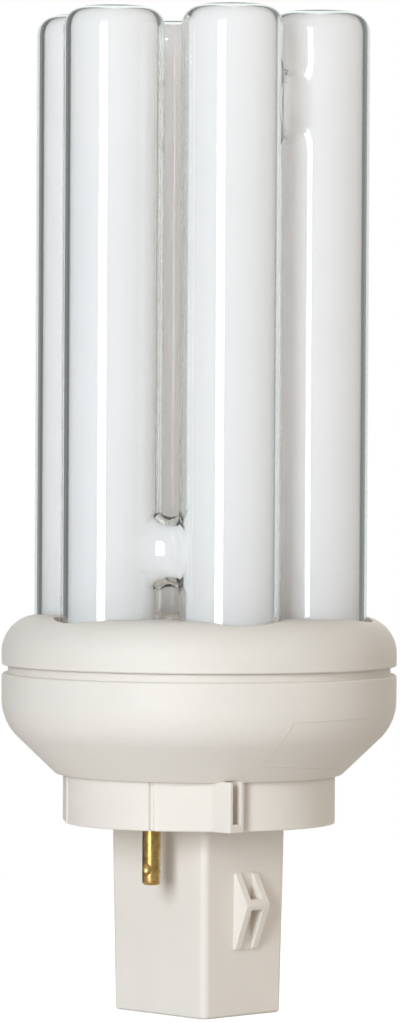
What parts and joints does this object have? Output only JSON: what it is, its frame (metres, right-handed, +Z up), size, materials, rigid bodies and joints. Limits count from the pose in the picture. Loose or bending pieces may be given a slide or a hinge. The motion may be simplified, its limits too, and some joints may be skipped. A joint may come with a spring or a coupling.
{
  "type": "two pin compact fluorescent lamp",
  "caption": "Plug-in compact fluorescent lamp: a ring of joined white glass legs on a round collar, with a bowl-shaped base, keyed boss, brass contact pins and a plug post with lugs.",
  "frame": {"origin": "centre of the plug post's flat end, on the lamp's long axis", "axes": "+Z up the lamp's axis towards the tube tops; +X and -X are the post faces with the retention lugs; -Y is the side of contact pin 1 and +Y the side of contact pin 2"},
  "size_m": [0.048, 0.048, 0.1213],
  "materials": {
    "coated_glass": "clear glossy glass over a matt white coating",
    "cover_plastic": "satin warm white moulding",
    "housing_plastic": "satin warm white moulding",
    "cement": "dull baked lamp cement",
    "pin_brass": "bright drawn brass",
    "starter_glass": "clear blown glass",
    "capacitor_case": "dipped resin",
    "nickel_wire": "plain drawn nickel wire",
    "tinned_wire": "tinned",
    "sleeving": "braided glass fibre"
  },
  "bodies": {
    "root": {"discharge_tube": "coated_glass", "top_cover": "cover_plastic", "base_housing": "housing_plastic", "tube_cement": "cement", "contact_pin_1": "pin_brass", "contact_pin_2": "pin_brass", "starter_bottle": "starter_glass", "suppression_capacitor": "capacitor_case", "lead_in_wire_1": "nickel_wire", "lead_in_wire_2": "nickel_wire", "lead_in_wire_3": "nickel_wire", "lead_in_wire_4": "nickel_wire", "starter_lead_1": "tinned_wire", "starter_lead_2": "tinned_wire", "capacitor_lead_1": "tinned_wire", "capacitor_lead_2": "tinned_wire", "crimp_ferrule_1": "tinned_wire", "crimp_ferrule_2": "tinned_wire", "insulating_sleeve_1": "sleeving", "insulating_sleeve_2": "sleeving"}
  },
  "joints": []
}
